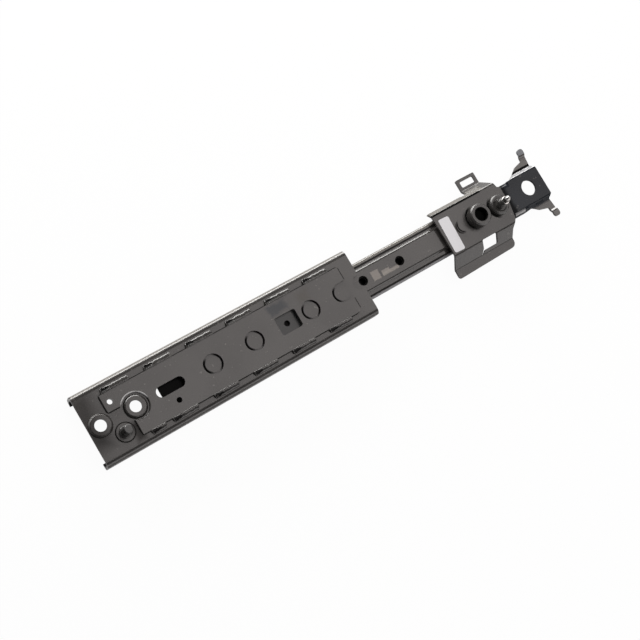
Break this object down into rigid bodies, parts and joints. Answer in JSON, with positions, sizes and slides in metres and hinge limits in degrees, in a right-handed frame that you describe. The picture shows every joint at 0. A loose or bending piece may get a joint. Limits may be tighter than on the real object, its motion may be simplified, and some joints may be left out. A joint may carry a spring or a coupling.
{
  "type": "seat slide rail",
  "caption": "Ball-bearing slide rail for a vehicle seat, partly drawn out, with a welded mounting plate, a folded end bracket on two fasteners and a forked end yoke.",
  "frame": {"origin": "midway between the two bolt holes, on the faces of their bosses", "axes": "+X along the rail towards the end that draws out, +Z out of the bolted face, +Y across the rail"},
  "size_m": [0.5161, 0.0867, 0.0455],
  "materials": {
    "black_coat": "glossy black dip coat",
    "weld_metal": "coated weld beads",
    "dark_fastener": "black oxide",
    "blued_steel": "dark blued steel",
    "white_label": "blank paper label",
    "cage_plastic": "natural nylon",
    "ball_steel": "polished"
  },
  "bodies": {
    "outer": {"outer_rail": "black_coat", "mounting_plate": "black_coat", "upper_welds": "weld_metal", "lower_welds": "weld_metal", "locating_pin": "dark_fastener", "nut_plate": "blued_steel"},
    "inner": {"inner_rail": "black_coat", "inner_rail_nuts": "dark_fastener", "end_bracket": "black_coat", "bracket_label": "white_label", "socket_screw": "dark_fastener", "socket_screw_nut": "dark_fastener", "socket_screw_washer": "dark_fastener", "flange_stud": "dark_fastener", "stud_nut": "dark_fastener", "stud_washer": "dark_fastener", "yoke": "blued_steel"},
    "upper_cage": {"upper_ball_cage": "cage_plastic", "upper_balls": "ball_steel"},
    "lower_cage": {"lower_ball_cage": "cage_plastic", "lower_balls": "ball_steel"}
  },
  "joints": [
    {"name": "inner_rail_slide", "type": "slide", "parent": "outer", "child": "inner", "axis": [1, 0, 0], "range_m": [-0.014, 0.105]},
    {"name": "upper_cage_slide", "type": "slide", "parent": "outer", "child": "upper_cage", "axis": [1, 0, 0], "range_m": [-0.007, 0.0525]},
    {"name": "lower_cage_slide", "type": "slide", "parent": "outer", "child": "lower_cage", "axis": [1, 0, 0], "range_m": [-0.007, 0.0525]}
  ],
  "couplings": [
    {"joint": "upper_cage_slide", "follows": "inner_rail_slide", "ratio": 0.5},
    {"joint": "lower_cage_slide", "follows": "inner_rail_slide", "ratio": 0.5}
  ]
}
